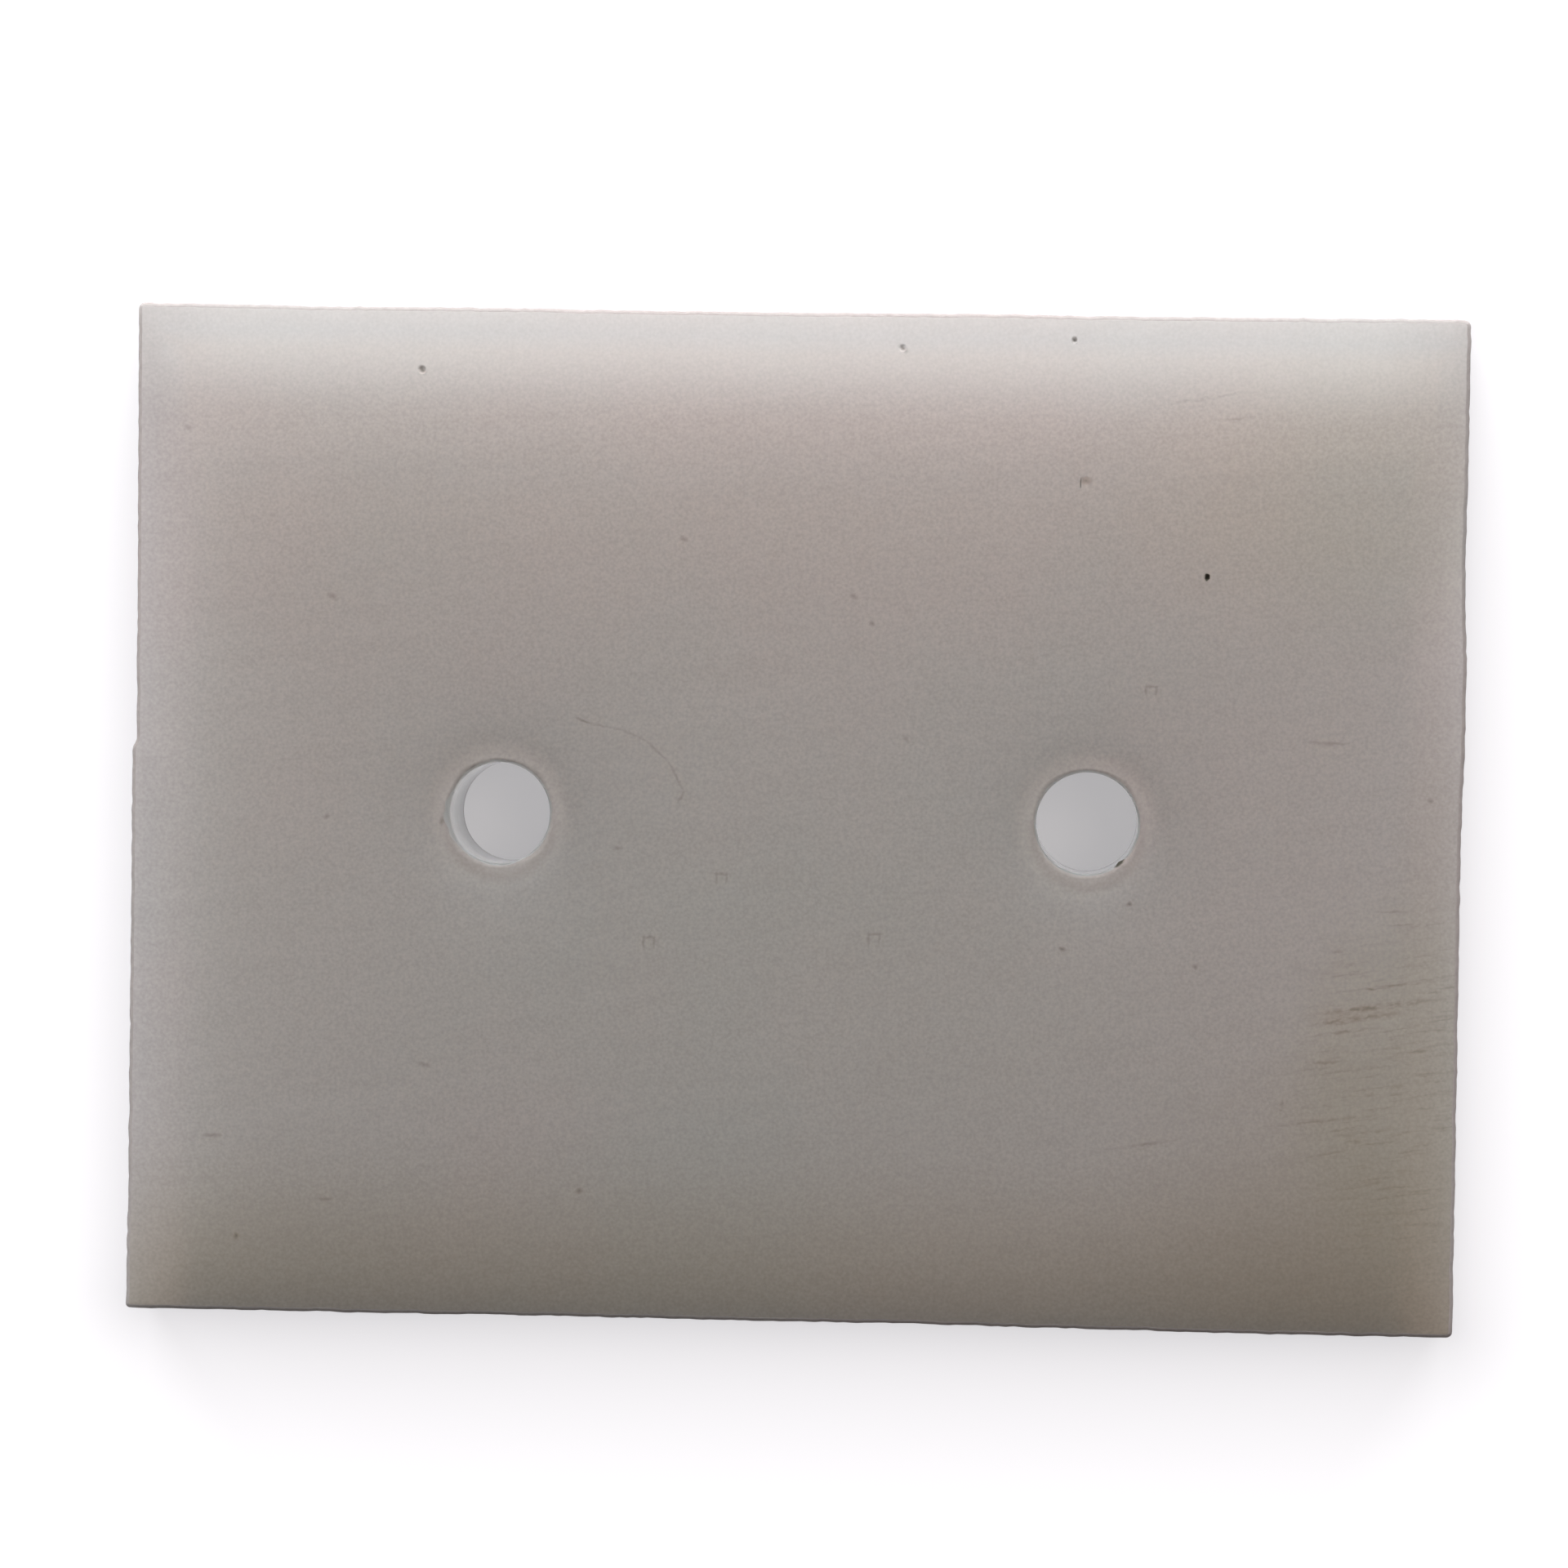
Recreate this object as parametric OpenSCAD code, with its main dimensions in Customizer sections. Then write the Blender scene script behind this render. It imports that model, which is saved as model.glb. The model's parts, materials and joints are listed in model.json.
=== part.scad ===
// Wear pad: a flat sawn slab of natural nylon with two plain bolt holes on its long centre line.
// Millimetres. The origin is the centre of the back face, +X runs along the length, +Z out of the wear face.

/* [Pad] */
// Length of the pad, along X
pad_length = 133.5; // [80:0.5:300]
// Width of the pad, along Y
pad_width = 101.3; // [30:0.1:250]
// Thickness of the pad, along Z
pad_thickness = 12.7; // [4:0.1:40]

/* [Edges] */
// Radius that scraping off the saw burr left along the edges of both faces
edge_round = 0.4; // [0.1:0.05:1.5]
// Radius of the four upright corners
corner_round = 0.6; // [0.1:0.05:8]

/* [Bolt holes] */
// Diameter of each bolt hole
hole_diameter = 10.2; // [4:0.1:30]
// Distance between the centres of the two bolt holes
hole_pitch = 59; // [35:0.5:115]
// Width of the broken rim round each end of a bolt hole
hole_rim = 0.2; // [0.05:0.05:1]

/* [Hidden] */
// How far a cutting shape runs past the face that it cuts
overcut = 1;
$fn = 64;

// Rectangle centred on the origin, with a quarter circle at each corner
module rounded_rectangle(length, width, radius) {
    square([length - 2 * radius, width], center = true);
    square([length, width - 2 * radius], center = true);
    for (side_x = [-1, 1])
        for (side_y = [-1, 1])
            translate([side_x * (length / 2 - radius), side_y * (width / 2 - radius)])
                circle(r = radius);
}

// Bar along Y whose section is a rounded rectangle standing on the back face
module eased_bar(width, length) {
    translate([0, 0, pad_thickness / 2])
        rotate([90, 0, 0])
            linear_extrude(height = length, center = true)
                rounded_rectangle(width, pad_thickness, edge_round);
}

// The slab: its plan outline, met by the same eased section seen from the end and from the side
module slab() {
    intersection() {
        linear_extrude(height = pad_thickness)
            rounded_rectangle(pad_length, pad_width, corner_round);
        eased_bar(pad_length, pad_width + 2 * overcut);
        rotate([0, 0, 90])
            eased_bar(pad_width, pad_length + 2 * overcut);
    }
}

// One drilled hole as a revolved cutter: a straight wall that opens at 45 degrees at both faces
module bolt_hole() {
    hole_radius = hole_diameter / 2;
    mouth_radius = hole_radius + hole_rim + overcut;
    rotate_extrude()
        polygon([
            [0, -overcut],
            [mouth_radius, -overcut],
            [hole_radius, hole_rim],
            [hole_radius, pad_thickness - hole_rim],
            [mouth_radius, pad_thickness + overcut],
            [0, pad_thickness + overcut]
        ]);
}

module wear_pad() {
    color("#a39b96")
        difference() {
            slab();
            for (side = [-1, 1])
                translate([side * hole_pitch / 2, 0, 0])
                    bolt_hole();
        }
}

wear_pad();
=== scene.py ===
# %% [markdown]
# A wear pad is the part of a machine that is meant to be rubbed away: a slab of slippery plastic, bolted
# between two steel members that slide on each other. This one is sawn from natural nylon sheet and
# drilled for two bolts. The solid gives its exact size, and this lesson adds what the eye sees: sawn
# sides, pits, scuffs and milky depth.

# %% Load the solid as the fixed frame
import json

import bpy
import numpy as np
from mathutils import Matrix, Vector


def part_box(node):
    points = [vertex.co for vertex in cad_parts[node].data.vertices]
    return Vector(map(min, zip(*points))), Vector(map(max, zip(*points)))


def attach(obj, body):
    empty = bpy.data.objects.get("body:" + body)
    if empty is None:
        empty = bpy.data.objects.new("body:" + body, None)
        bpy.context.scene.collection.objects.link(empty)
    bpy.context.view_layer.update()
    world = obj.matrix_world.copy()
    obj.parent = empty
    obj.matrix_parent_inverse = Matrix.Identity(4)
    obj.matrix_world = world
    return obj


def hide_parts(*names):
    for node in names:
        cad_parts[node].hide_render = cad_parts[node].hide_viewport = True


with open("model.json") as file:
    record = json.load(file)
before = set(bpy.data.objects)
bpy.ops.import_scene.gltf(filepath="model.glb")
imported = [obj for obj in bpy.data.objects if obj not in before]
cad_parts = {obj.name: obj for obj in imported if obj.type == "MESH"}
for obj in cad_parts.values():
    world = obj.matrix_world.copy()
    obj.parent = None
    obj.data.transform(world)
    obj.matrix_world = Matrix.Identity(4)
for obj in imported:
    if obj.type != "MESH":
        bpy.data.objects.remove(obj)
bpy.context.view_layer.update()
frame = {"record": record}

# %% [markdown]
# Every size comes from the solid where it can: the slab's box, and the record's two bolt holes. Three
# small roundings are too fine for the record, so they are written here as they are in the solid. Shapes
# are worked out in millimetres, because that is how a pad is drawn, and turned to metres only when they
# go into a mesh.

# %% Sizes in millimetres
MM = 0.001
EDGE_ROUND = 0.4
CORNER_ROUND = 0.6
HOLE_RIM = 0.2

box_low, box_high = (np.array(corner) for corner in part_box("wear_pad"))
length, width, thickness = (box_high - box_low) / MM
bolt_holes = [m for m in frame["record"]["mounts"] if m["kind"] == "bore"]
hole_radius = bolt_holes[0]["dims"]["r_mm"]
hole_centres = sorted(m["pos_m"][0] / MM for m in bolt_holes)
print("holes at x", hole_centres, "radius", hole_radius)

# %% [markdown]
# The two flat faces could be one polygon each, but then nothing could be sunk into them and the outline
# could not wander as a sawn one does. So each face is a grid: a function of two parameters, x and y. The
# lines are close together at the corners and round the holes, and wider elsewhere, so that detail goes
# where it is needed.

# %% Grid of the flat faces
FACE_STEP = 0.7
HOLE_STEP = 0.4
CORNER_STEP = 0.1
WINDOW = 8.0

flat_corner = CORNER_ROUND - EDGE_ROUND
half_x = length / 2 - EDGE_ROUND
half_y = width / 2 - EDGE_ROUND


def grid_lines(half, centres):
    """Lines from -half to half: fine in the corners and over each hole's window, coarse between."""
    breaks = [-half, -half + flat_corner]
    steps = [CORNER_STEP]
    for centre in centres:
        breaks += [centre - WINDOW, centre + WINDOW]
        steps += [FACE_STEP, HOLE_STEP]
    breaks += [half - flat_corner, half]
    steps += [FACE_STEP, CORNER_STEP]
    spans = [
        np.linspace(start, stop, max(1, round((stop - start) / step)), endpoint=False)
        for start, stop, step in zip(breaks[:-1], breaks[1:], steps)
    ]
    return np.append(np.concatenate(spans), half)


x_lines = grid_lines(half_x, hole_centres)
y_lines = grid_lines(half_y, [0.0])
grid_x, grid_y = np.meshgrid(x_lines, y_lines, indexing="ij")
print("face grid:", grid_x.shape)

# %% [markdown]
# The four upright corners were broken with a scraper, so in plan they are small arcs. A square patch of
# the grid becomes a quarter disc by keeping each point's larger coordinate as its radius and turning the
# ratio of the two into an angle. Squares go to arcs in that way, with no gap and no overlap.

# %% Round the corners of the grid
TINY = 1e-9


def round_corners(x, y):
    """Moves the grid's corner squares onto quarter discs.

    Radius = the larger of a and b; angle = a quarter turn shared out by the ratio of the two.
    """
    a = np.clip((np.abs(x) - half_x + flat_corner) / flat_corner, 0, 1)
    b = np.clip((np.abs(y) - half_y + flat_corner) / flat_corner, 0, 1)
    in_corner = (a > 0) & (b > 0)
    radius = np.maximum(a, b)
    ratio = np.minimum(a, b) / np.maximum(radius, TINY)
    angle = np.pi / 4 * np.where(a >= b, ratio, 2 - ratio)
    round_x = half_x - flat_corner + flat_corner * radius * np.cos(angle)
    round_y = half_y - flat_corner + flat_corner * radius * np.sin(angle)
    x = np.where(in_corner, np.sign(x) * round_x, x)
    y = np.where(in_corner, np.sign(y) * round_y, y)
    return x, y


grid_x, grid_y = round_corners(grid_x, grid_y)
face_count = grid_x.size
top_index = np.arange(face_count).reshape(grid_x.shape)
back_index = top_index + face_count
points = [
    np.column_stack([grid_x.ravel(), grid_y.ravel(), np.full(face_count, thickness)]),
    np.column_stack([grid_x.ravel(), grid_y.ravel(), np.zeros(face_count)]),
]
point_count = 2 * face_count
print("points on both faces:", point_count)

# %% [markdown]
# Everything else hangs between loops of points that the two grids already have: the outline, and a square
# window round each hole or pit. A loop is carried along a path, row by row, and each two neighbouring
# rows are joined by quads. The same few lines make the sides, the bores and the pits, so they are written
# once.

# %% Loops and rows
quads = []
finishes = []
caps = []
PLANED, SAWN, DRILLED = range(3)


def window_loop(index, i0, i1, j0, j1):
    """Indices round a block of cells, counter-clockwise seen from above."""
    return np.concatenate([index[i0:i1, j0], index[i1, j0:j1], index[i1:i0:-1, j1], index[i0, j1:j0:-1]])


def add_points(rows):
    """Adds rows of new points and returns their indices, one row of indices for each row of points."""
    global point_count
    rows = np.asarray(rows, float)
    first = point_count
    points.append(rows.reshape(-1, 3))
    point_count += rows.shape[0] * rows.shape[1]
    return first + np.arange(rows.shape[0] * rows.shape[1]).reshape(rows.shape[:2])


def join_rows(rows, finish, inwards=True):
    """Joins each row of indices to the next by a ring of quads, facing into the loop or out of it."""
    rows = np.asarray(rows)
    turned = np.roll(rows, -1, axis=1)
    corners = [rows[:-1], turned[:-1], turned[1:], rows[1:]]
    made = np.stack(corners if inwards else corners[::-1], axis=-1).reshape(-1, 4)
    quads.append(made)
    finishes.append(np.full(len(made), finish))


def join_grid(index, keep, finish, upwards):
    """Quads of the grid cells that are kept, facing up or down."""
    corners = [index[:-1, :-1], index[1:, :-1], index[1:, 1:], index[:-1, 1:]]
    made = np.stack(corners if upwards else corners[::-1], axis=-1)[keep]
    quads.append(made)
    finishes.append(np.full(len(made), finish))


top_keep = np.ones((len(x_lines) - 1, len(y_lines) - 1), bool)
back_keep = top_keep.copy()
print("cells on each face:", top_keep.size)

# %% [markdown]
# A drill leaves a straight wall and a rim with a small burr that was broken off by hand, so the rim is a
# little uneven. The wall is a revolved profile: rows start at the square window on the top face, shrink
# to the rim, run down the bore and open again to the window on the back. On the right hole a sliver of
# swarf still hangs into the bore, and the left hole's rim is chipped.

# %% Bores of the two bolt holes
SPREAD_ROWS = np.array([0.3, 0.55, 0.75, 0.9])
WALL_ROWS = 14
RIM_WANDER = 0.04
# Place of each chip round the left hole's rim in degrees, half its length in degrees, and its depth
RIM_CHIPS = [
    (186, 9, 0.40),
    (170, 5, 0.24),
    (148, 8, -0.12),
    (206, 7, 0.20),
    (-62, 5, -0.10),
    (95, 6, 0.08),
]
SLIVER_ANGLE = np.radians(-50)
SLIVER_HALF_ANGLE = np.radians(6)
SLIVER_REACH = 0.35
SLIVER_RISE = 0.03
SNAP = 1e-6


def rim_wander(angle, turns):
    """Uneven rim: a sum of three slow waves, and on the left hole chips, each a bell of angle."""
    waves = np.sin(3 * angle + turns) + np.sin(7 * angle + 2 * turns) + np.sin(17 * angle + 5 * turns)
    places, halves, depths = np.array(RIM_CHIPS).T
    off = (np.degrees(angle)[:, None] - places + 180) % 360 - 180
    chips = np.exp(-((off / halves) ** 2)) @ depths
    return RIM_WANDER * waves / 3 + (1 - turns) * chips


def circle(centre, radius, height, angle):
    """One row of points round a hole's axis."""
    return np.column_stack([centre + radius * np.cos(angle), radius * np.sin(angle), height + 0 * angle])


def spread(loop, rim):
    """Rows between a square window and a round rim: each point slides along its own spoke."""
    return [loop + share * (rim - loop) for share in SPREAD_ROWS]


for number, centre in enumerate(hole_centres):
    i0, i1 = np.searchsorted(x_lines, [centre - WINDOW - SNAP, centre + WINDOW - SNAP])
    j0, j1 = np.searchsorted(y_lines, [-WINDOW - SNAP, WINDOW - SNAP])
    top_keep[i0:i1, j0:j1] = False
    back_keep[i0:i1, j0:j1] = False
    top_loop = window_loop(top_index, i0, i1, j0, j1)
    back_loop = window_loop(back_index, i0, i1, j0, j1)
    square = points[0][top_loop]
    drop = np.array([0, 0, thickness])
    angle = np.arctan2(square[:, 1], square[:, 0] - centre)

    sliver = number * np.exp(-(((angle - SLIVER_ANGLE) / SLIVER_HALF_ANGLE) ** 2))
    mouth = hole_radius + HOLE_RIM + rim_wander(angle, number) - SLIVER_REACH * sliver
    rim = circle(centre, mouth, thickness + SLIVER_RISE * sliver, angle)
    back_rim = circle(centre, hole_radius + HOLE_RIM, 0.0, angle)
    heights = np.linspace(thickness - HOLE_RIM, HOLE_RIM, WALL_ROWS)
    wall = [circle(centre, hole_radius, height, angle) for height in heights]

    face_rows = add_points(spread(square, rim) + [rim])
    wall_rows = add_points(wall)
    back_rows = add_points([back_rim] + spread(square - drop, back_rim)[::-1])
    join_rows(np.vstack([top_loop, face_rows]), PLANED)
    join_rows(np.vstack([face_rows[-1], wall_rows, back_rows[0]]), DRILLED)
    join_rows(np.vstack([back_rows, back_loop]), PLANED)
    print("bore", number, "points round it:", len(angle))

# %% [markdown]
# One dark pit, one grey pit and three shallow dents show on the face. A bump map would leave them flat
# from the side, so each one is a small bowl: a block of cells is taken out of the top grid, and rows of
# shrinking circles go down to a flat bottom. The list gives where each is, how wide and how deep.

# %% Pits and dents in the wear face
PITS = [
    # x, y, radius, depth
    (41.0, 24.8, 0.28, 0.40),
    (27.4, 48.2, 0.28, 0.20),
    (28.8, 34.2, 0.45, 0.10),
    (-38.0, 44.4, 0.40, 0.14),
    (10.3, 47.2, 0.35, 0.10),
]
PIT_BLOCK = 4
# Radius and depth of each row, as shares of the pit's own
PIT_PROFILE = [(1.5, 0.0), (1.15, 0.0), (1.0, 0.12), (0.85, 0.55), (0.55, 0.95), (0.25, 1.0)]

for x, y, radius, depth in PITS:
    i0 = np.searchsorted(x_lines, x) - PIT_BLOCK // 2
    j0 = np.searchsorted(y_lines, y) - PIT_BLOCK // 2
    i1, j1 = i0 + PIT_BLOCK, j0 + PIT_BLOCK
    top_keep[i0:i1, j0:j1] = False
    loop = window_loop(top_index, i0, i1, j0, j1)
    square = points[0][loop]
    angle = np.arctan2(square[:, 1] - y, square[:, 0] - x)
    rings = [
        circle(x, share * radius, thickness - sunk * depth, angle) + np.array([0, y, 0])
        for share, sunk in PIT_PROFILE
    ]
    rows = add_points(rings)
    join_rows(np.vstack([loop, rows]), PLANED)
    caps.append(rows[-1])

join_grid(top_index, top_keep, PLANED, upwards=True)
join_grid(back_index, back_keep, PLANED, upwards=False)
print("pits:", len(PITS))

# %% [markdown]
# The sides are a profile carried along a path. The path is the outline; the profile goes round the top
# edge by a quarter circle, straight down, and in again to the back face. Each outline point knows which
# way is out: it is the direction from the nearest point of the rectangle that the corner arcs are drawn
# from.

# %% Sides between the two outlines
EDGE_ROWS = 4
SIDE_ROWS = 12

top_outline = window_loop(top_index, 0, len(x_lines) - 1, 0, len(y_lines) - 1)
back_outline = top_outline + face_count
outline = points[0][top_outline][:, :2]
inner_half = np.array([half_x, half_y]) - flat_corner
anchor = np.clip(outline, -inner_half, inner_half)
outwards = (outline - anchor) / flat_corner

turn = np.linspace(0, np.pi / 2, EDGE_ROWS + 1)[1:]
straight = np.linspace(thickness - EDGE_ROUND, EDGE_ROUND, SIDE_ROWS + 1)[1:-1]
reach = np.concatenate([np.sin(turn), np.ones(len(straight)), np.sin(turn[::-1])]) * EDGE_ROUND
top_round = thickness - EDGE_ROUND * (1 - np.cos(turn))
height = np.concatenate([top_round, straight, thickness - top_round[::-1]])

side = np.zeros((len(height), len(outline), 3))
side[:, :, :2] = anchor + outwards * (flat_corner + reach)[:, None, None]
side[:, :, 2] = height[:, None]
side_rows = add_points(side)
join_rows(np.vstack([top_outline, side_rows, back_outline]), SAWN, inwards=False)
print("side rows:", len(height), "points round the outline:", len(outline))

# %% [markdown]
# No sawn side is straight. The blade wanders by a tenth of a millimetre or two, the left side even has a
# step where two cuts met, and every tooth leaves a faint ridge. A modifier would need a texture for each
# side; here the four sides are pulled in or out by one function of position, and the pull fades out a few
# millimetres into the face.

# %% Sawn outline
FADE = 6.0
RIDGE = 0.022
RIDGE_LEAN = 0.16
RIDGE_WAVES = (1.9, 2.9, 4.7, 8.3)
FUZZ = 0.05
FUZZ_STEP = 0.75
# How far each side stands out, as pairs of place along the side and offset
LEFT_WANDER = [
    (-50, 0.0), (-38, -0.1), (-25, 0.0), (-2, 0.1),
    (5.9, 0.15), (6.7, -0.26), (20, -0.15), (35, 0.0), (50, 0.18),
]
RIGHT_WANDER = [
    (-50, 0.03), (-20, -0.02), (-6, -0.07), (3, 0.0),
    (5, 0.14), (17, 0.18), (20, 0.04), (25, -0.12), (40, -0.02),
]
BACK_WANDER = [
    (-66, 0.15), (-58, 0.12), (-50, 0.0), (-27, 0.08),
    (-22, 0.0), (0, -0.04), (19, 0.08), (30, 0.0), (60, 0.08),
]
FRONT_WANDER = [
    (-66, 0.2), (-58, 0.1), (-35, 0.04), (-28, -0.05),
    (-5, -0.05), (14, -0.13), (25, -0.05), (45, 0.05), (66, 0.0),
]

random = np.random.default_rng(7)


def side_offset(along, up, wander):
    """Outward offset of one side: blade wander, leaning tooth ridges as a sum of waves, and short fuzz."""
    places, offsets = np.array(wander).T
    knots = np.arange(-length / 2 - 1, length / 2 + 1, FUZZ_STEP)
    fuzz = np.interp(along, knots, random.uniform(-FUZZ, FUZZ, len(knots)))
    phases = random.uniform(0, 2 * np.pi, len(RIDGE_WAVES))
    leaning = along + RIDGE_LEAN * up
    ridges = sum(np.sin(2 * np.pi * leaning / wave + phase) for wave, phase in zip(RIDGE_WAVES, phases))
    return np.interp(along, places, offsets) + RIDGE * ridges / 2 + fuzz


def fade_in(distance):
    """1 on a side, easing to 0 at FADE millimetres inside it."""
    t = np.clip(1 - distance / FADE, 0, 1)
    return t * t * (3 - 2 * t)


shape = np.vstack(points)
x, y, z = shape.T
pull_right = side_offset(y, z, RIGHT_WANDER) * fade_in(length / 2 - x)
pull_left = side_offset(y, z, LEFT_WANDER) * fade_in(length / 2 + x)
pull_back = side_offset(x, z, BACK_WANDER) * fade_in(width / 2 - y)
pull_front = side_offset(x, z, FRONT_WANDER) * fade_in(width / 2 + y)
pull = np.column_stack([pull_right - pull_left, pull_back - pull_front, np.zeros(len(shape))])
shape = shape + pull
print("sawn sides move by up to, mm:", np.round(np.abs(pull).max(axis=0)[:2], 2).tolist())

# %% [markdown]
# The arrays become one closed mesh. It replaces the plain solid in the picture and rides on the root body.
# Quads stay quads, and the pits' small bottoms are single many-sided faces.

# %% Make the pad
faces = np.vstack(quads).tolist() + [cap.tolist() for cap in caps]
finish_of_face = np.concatenate(finishes + [np.full(len(caps), PLANED)])
pad_mesh = bpy.data.meshes.new("natural_nylon_pad")
pad_mesh.from_pydata((shape * MM).tolist(), [], faces)
pad_mesh.polygons.foreach_set("material_index", finish_of_face.astype(np.int32))
pad_mesh.polygons.foreach_set("use_smooth", np.ones(len(faces), bool))
pad_mesh.update()

pad = bpy.data.objects.new("nylon_wear_pad", pad_mesh)
bpy.context.scene.collection.objects.link(pad)
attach(pad, "root")
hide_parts("wear_pad")
triangles = sum(len(face) - 2 for face in faces)
print("pad mesh:", len(shape), "points,", triangles, "triangles, valid:", not pad_mesh.validate())

# %% [markdown]
# Materials are trees of small nodes, and building one by hand takes three lines for each. One helper
# makes a node, sets its values and links its inputs, so that each line below says what a node does and
# what feeds it. Colours are written as they look on a screen and turned into amounts of light in one
# place.


# %% Helpers for materials
def linear(hex_colour):
    """sRGB hex to linear red, green, blue and alpha."""
    value = np.array([int(hex_colour[i:i + 2], 16) for i in (1, 3, 5)]) / 255
    flat = np.where(value <= 0.04045, value / 12.92, ((value + 0.055) / 1.055) ** 2.4)
    return (*flat.tolist(), 1.0)


def add(tree, kind, inputs=(), **settings):
    """Adds a node: settings are its properties, inputs maps a socket to a value or to a node's output."""
    made = tree.nodes.new(kind)
    for name, value in settings.items():
        setattr(made, name, value)
    for key, value in dict(inputs).items():
        if isinstance(value, bpy.types.NodeSocket):
            tree.links.new(value, made.inputs[key])
        else:
            made.inputs[key].default_value = value
    return made


print("a mid grey as light:", round(linear("#808080")[0], 3))

# %% [markdown]
# Natural nylon has no pigment. It is milky and warm grey, and light goes some way in before it comes out
# again. A plain diffuse colour would look like paint, and a glass with fog in it would be slow to render.
# A random walk below the surface is made for this. Its mean free path is about the pad's own thickness,
# so a lit side glows into the face. Blender's radius is four pi times that path, hence the factor below.
# Red goes a little deeper than blue.

# %% Natural nylon
NYLON_ROSY = "#B3A29A"
NYLON_GREENISH = "#AFA29A"
# Paler nylon for the painted glow along the lit back edge
NYLON_GLOW_PALE = "#E6E3E0"
NYLON_IOR = 1.53
MEAN_PATH = 12.0
# Path of red, green and blue light, as shares of the mean path
PATH_SHARES = (1.0, 0.88, 0.80)
PATCH_SIZE = 38.0
# Noise values at which the cast is all greenish and all rosy
CAST_LOW, CAST_HIGH = 0.4, 0.6


def start_material(name):
    """New material and the place on the pad in millimetres, read from Object coordinates."""
    material = bpy.data.materials.new(name)
    material.use_nodes = True
    tree = material.node_tree
    tree.nodes.clear()
    coordinates = add(tree, "ShaderNodeTexCoord")
    scaled = {0: coordinates.outputs["Object"], "Scale": 1 / MM}
    place = add(tree, "ShaderNodeVectorMath", scaled, operation="SCALE")
    return material, tree, place.outputs["Vector"]


def nylon_colour(tree, place):
    """Milky warm grey that drifts between a rosy and a greenish cast over some centimetres."""
    drift = add(tree, "ShaderNodeTexNoise", {"Vector": place, "Scale": 1 / PATCH_SIZE, "Detail": 2.0})
    cast = {"Value": drift.outputs["Fac"], "From Min": CAST_LOW, "From Max": CAST_HIGH}
    cast = add(tree, "ShaderNodeMapRange", cast)
    colours = {0: cast.outputs[0], 6: linear(NYLON_GREENISH), 7: linear(NYLON_ROSY)}
    return add(tree, "ShaderNodeMix", colours, data_type="RGBA").outputs[2]


def shaded(tree, colour, shade):
    """The colour multiplied by a grey shade."""
    grey = add(tree, "ShaderNodeCombineXYZ", {0: shade, 1: shade, 2: shade})
    inputs = {0: 1.0, 6: colour, 7: grey.outputs[0]}
    return add(tree, "ShaderNodeMix", inputs, data_type="RGBA", blend_type="MULTIPLY").outputs[2]


def tinted(tree, colour, amount, tint):
    """The colour multiplied by a tint, as far as amount says."""
    inputs = {0: amount, 6: colour, 7: linear(tint)}
    return add(tree, "ShaderNodeMix", inputs, data_type="RGBA", blend_type="MULTIPLY").outputs[2]


def nylon_surface(tree, colour, roughness, height=None, depth=1.0):
    """Nylon: depth is the share of light that walks below the surface, height is relief in millimetres."""
    inputs = {
        "Base Color": colour,
        "Roughness": roughness,
        "IOR": NYLON_IOR,
        "Subsurface Weight": depth,
        "Subsurface Radius": PATH_SHARES,
        "Subsurface Scale": 4 * np.pi * MEAN_PATH * MM,
    }
    if height is not None:
        bump = add(tree, "ShaderNodeBump", {"Height": height, "Distance": MM, "Strength": 1.0})
        inputs["Normal"] = bump.outputs["Normal"]
    shader = add(tree, "ShaderNodeBsdfPrincipled", inputs, subsurface_method="RANDOM_WALK")
    add(tree, "ShaderNodeOutputMaterial", {"Surface": shader.outputs["BSDF"]})


print("light walks, mm:", MEAN_PATH, "in a pad of, mm:", round(thickness, 2))

# %% [markdown]
# The wear face was planed with the sheet, which left faint lines, all in one direction, and a fine grain.
# Both are noise: the lines are noise that is stretched many times longer than it is wide. Scale follows
# from size, because noise of scale 1 on coordinates in millimetres has a grain of about a millimetre.

# %% Skin of the planed face
LINE_ANGLE = np.radians(8)
LINE_LENGTH = 24.0
LINE_GAP = 1.1
LINE_SHADE = 0.02
# Finer on the real face; drawn this coarse so that it shows
GRAIN_SIZE = 0.32
GRAIN_SHADE = 0.10
# Most of a noise's values lie between these two
NOISE_LOW, NOISE_HIGH = 0.25, 0.75


def skin(tree, place):
    """Shade of the skin: stretched lines times grain, each swinging about 1; and the grain by itself."""
    along = {"Vector": place, "Rotation": (0, 0, LINE_ANGLE), "Scale": (LINE_LENGTH, LINE_GAP, LINE_LENGTH)}
    stretched = add(tree, "ShaderNodeMapping", along, vector_type="TEXTURE")
    lines = add(tree, "ShaderNodeTexNoise", {"Vector": stretched.outputs[0], "Scale": 1.0, "Detail": 3.0})
    grain = add(tree, "ShaderNodeTexNoise", {"Vector": place, "Scale": 1 / GRAIN_SIZE, "Detail": 1.0})
    shades = []
    for noise, depth in ((lines, LINE_SHADE), (grain, GRAIN_SHADE)):
        swing = {
            "Value": noise.outputs["Fac"],
            "From Min": NOISE_LOW,
            "From Max": NOISE_HIGH,
            "To Min": 1 - depth,
            "To Max": 1 + depth,
        }
        shades.append(add(tree, "ShaderNodeMapRange", swing).outputs[0])
    shade = add(tree, "ShaderNodeMath", {0: shades[0], 1: shades[1]}, operation="MULTIPLY")
    return shade.outputs[0], grain.outputs["Fac"]


print("planing lines, mm:", LINE_LENGTH, "long,", LINE_GAP, "apart")

# %% [markdown]
# Use has left its marks: specks, short hooks from swarf that was pressed in, one curved hair scratch, and
# at the right end a patch of dark scuffs, all nearly along the length. A painted image is not needed for
# that. Each mark is a cone over an ellipse: the place is shifted, turned and divided by the half-length
# and half-width, and the mark is darkest in the middle and gone at the rim. The cones are added up. A
# little noise bends the place first, so that no mark is a perfect ellipse.

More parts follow.
